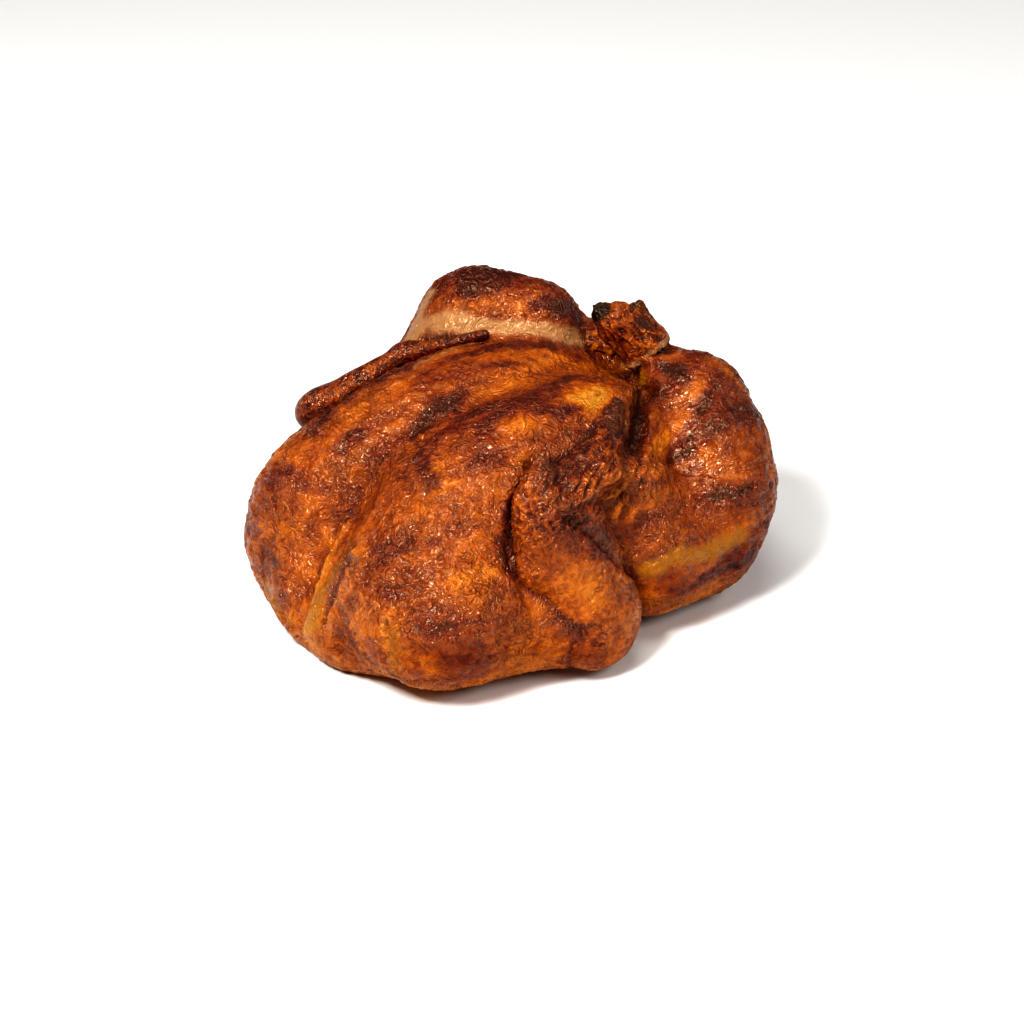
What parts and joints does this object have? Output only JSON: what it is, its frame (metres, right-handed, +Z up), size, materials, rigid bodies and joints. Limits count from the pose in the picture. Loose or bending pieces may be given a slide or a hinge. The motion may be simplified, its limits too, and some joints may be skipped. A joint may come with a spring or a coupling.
{
  "type": "roast chicken",
  "caption": "Whole roast chicken lying on its back, wings folded against the breast and drumsticks meeting at the ankles over the belly.",
  "frame": {"origin": "bottom centre of the bird's box, on the surface it rests on", "axes": "+X from the neck towards the tail, +Y towards the far wing, +Z up through the breast"},
  "size_m": [0.1824, 0.154, 0.0998],
  "materials": {
    "roasted_skin": "glossy browned skin, basted with its own fat"
  },
  "bodies": {
    "root": {"roast_chicken": "roasted_skin"}
  },
  "joints": []
}
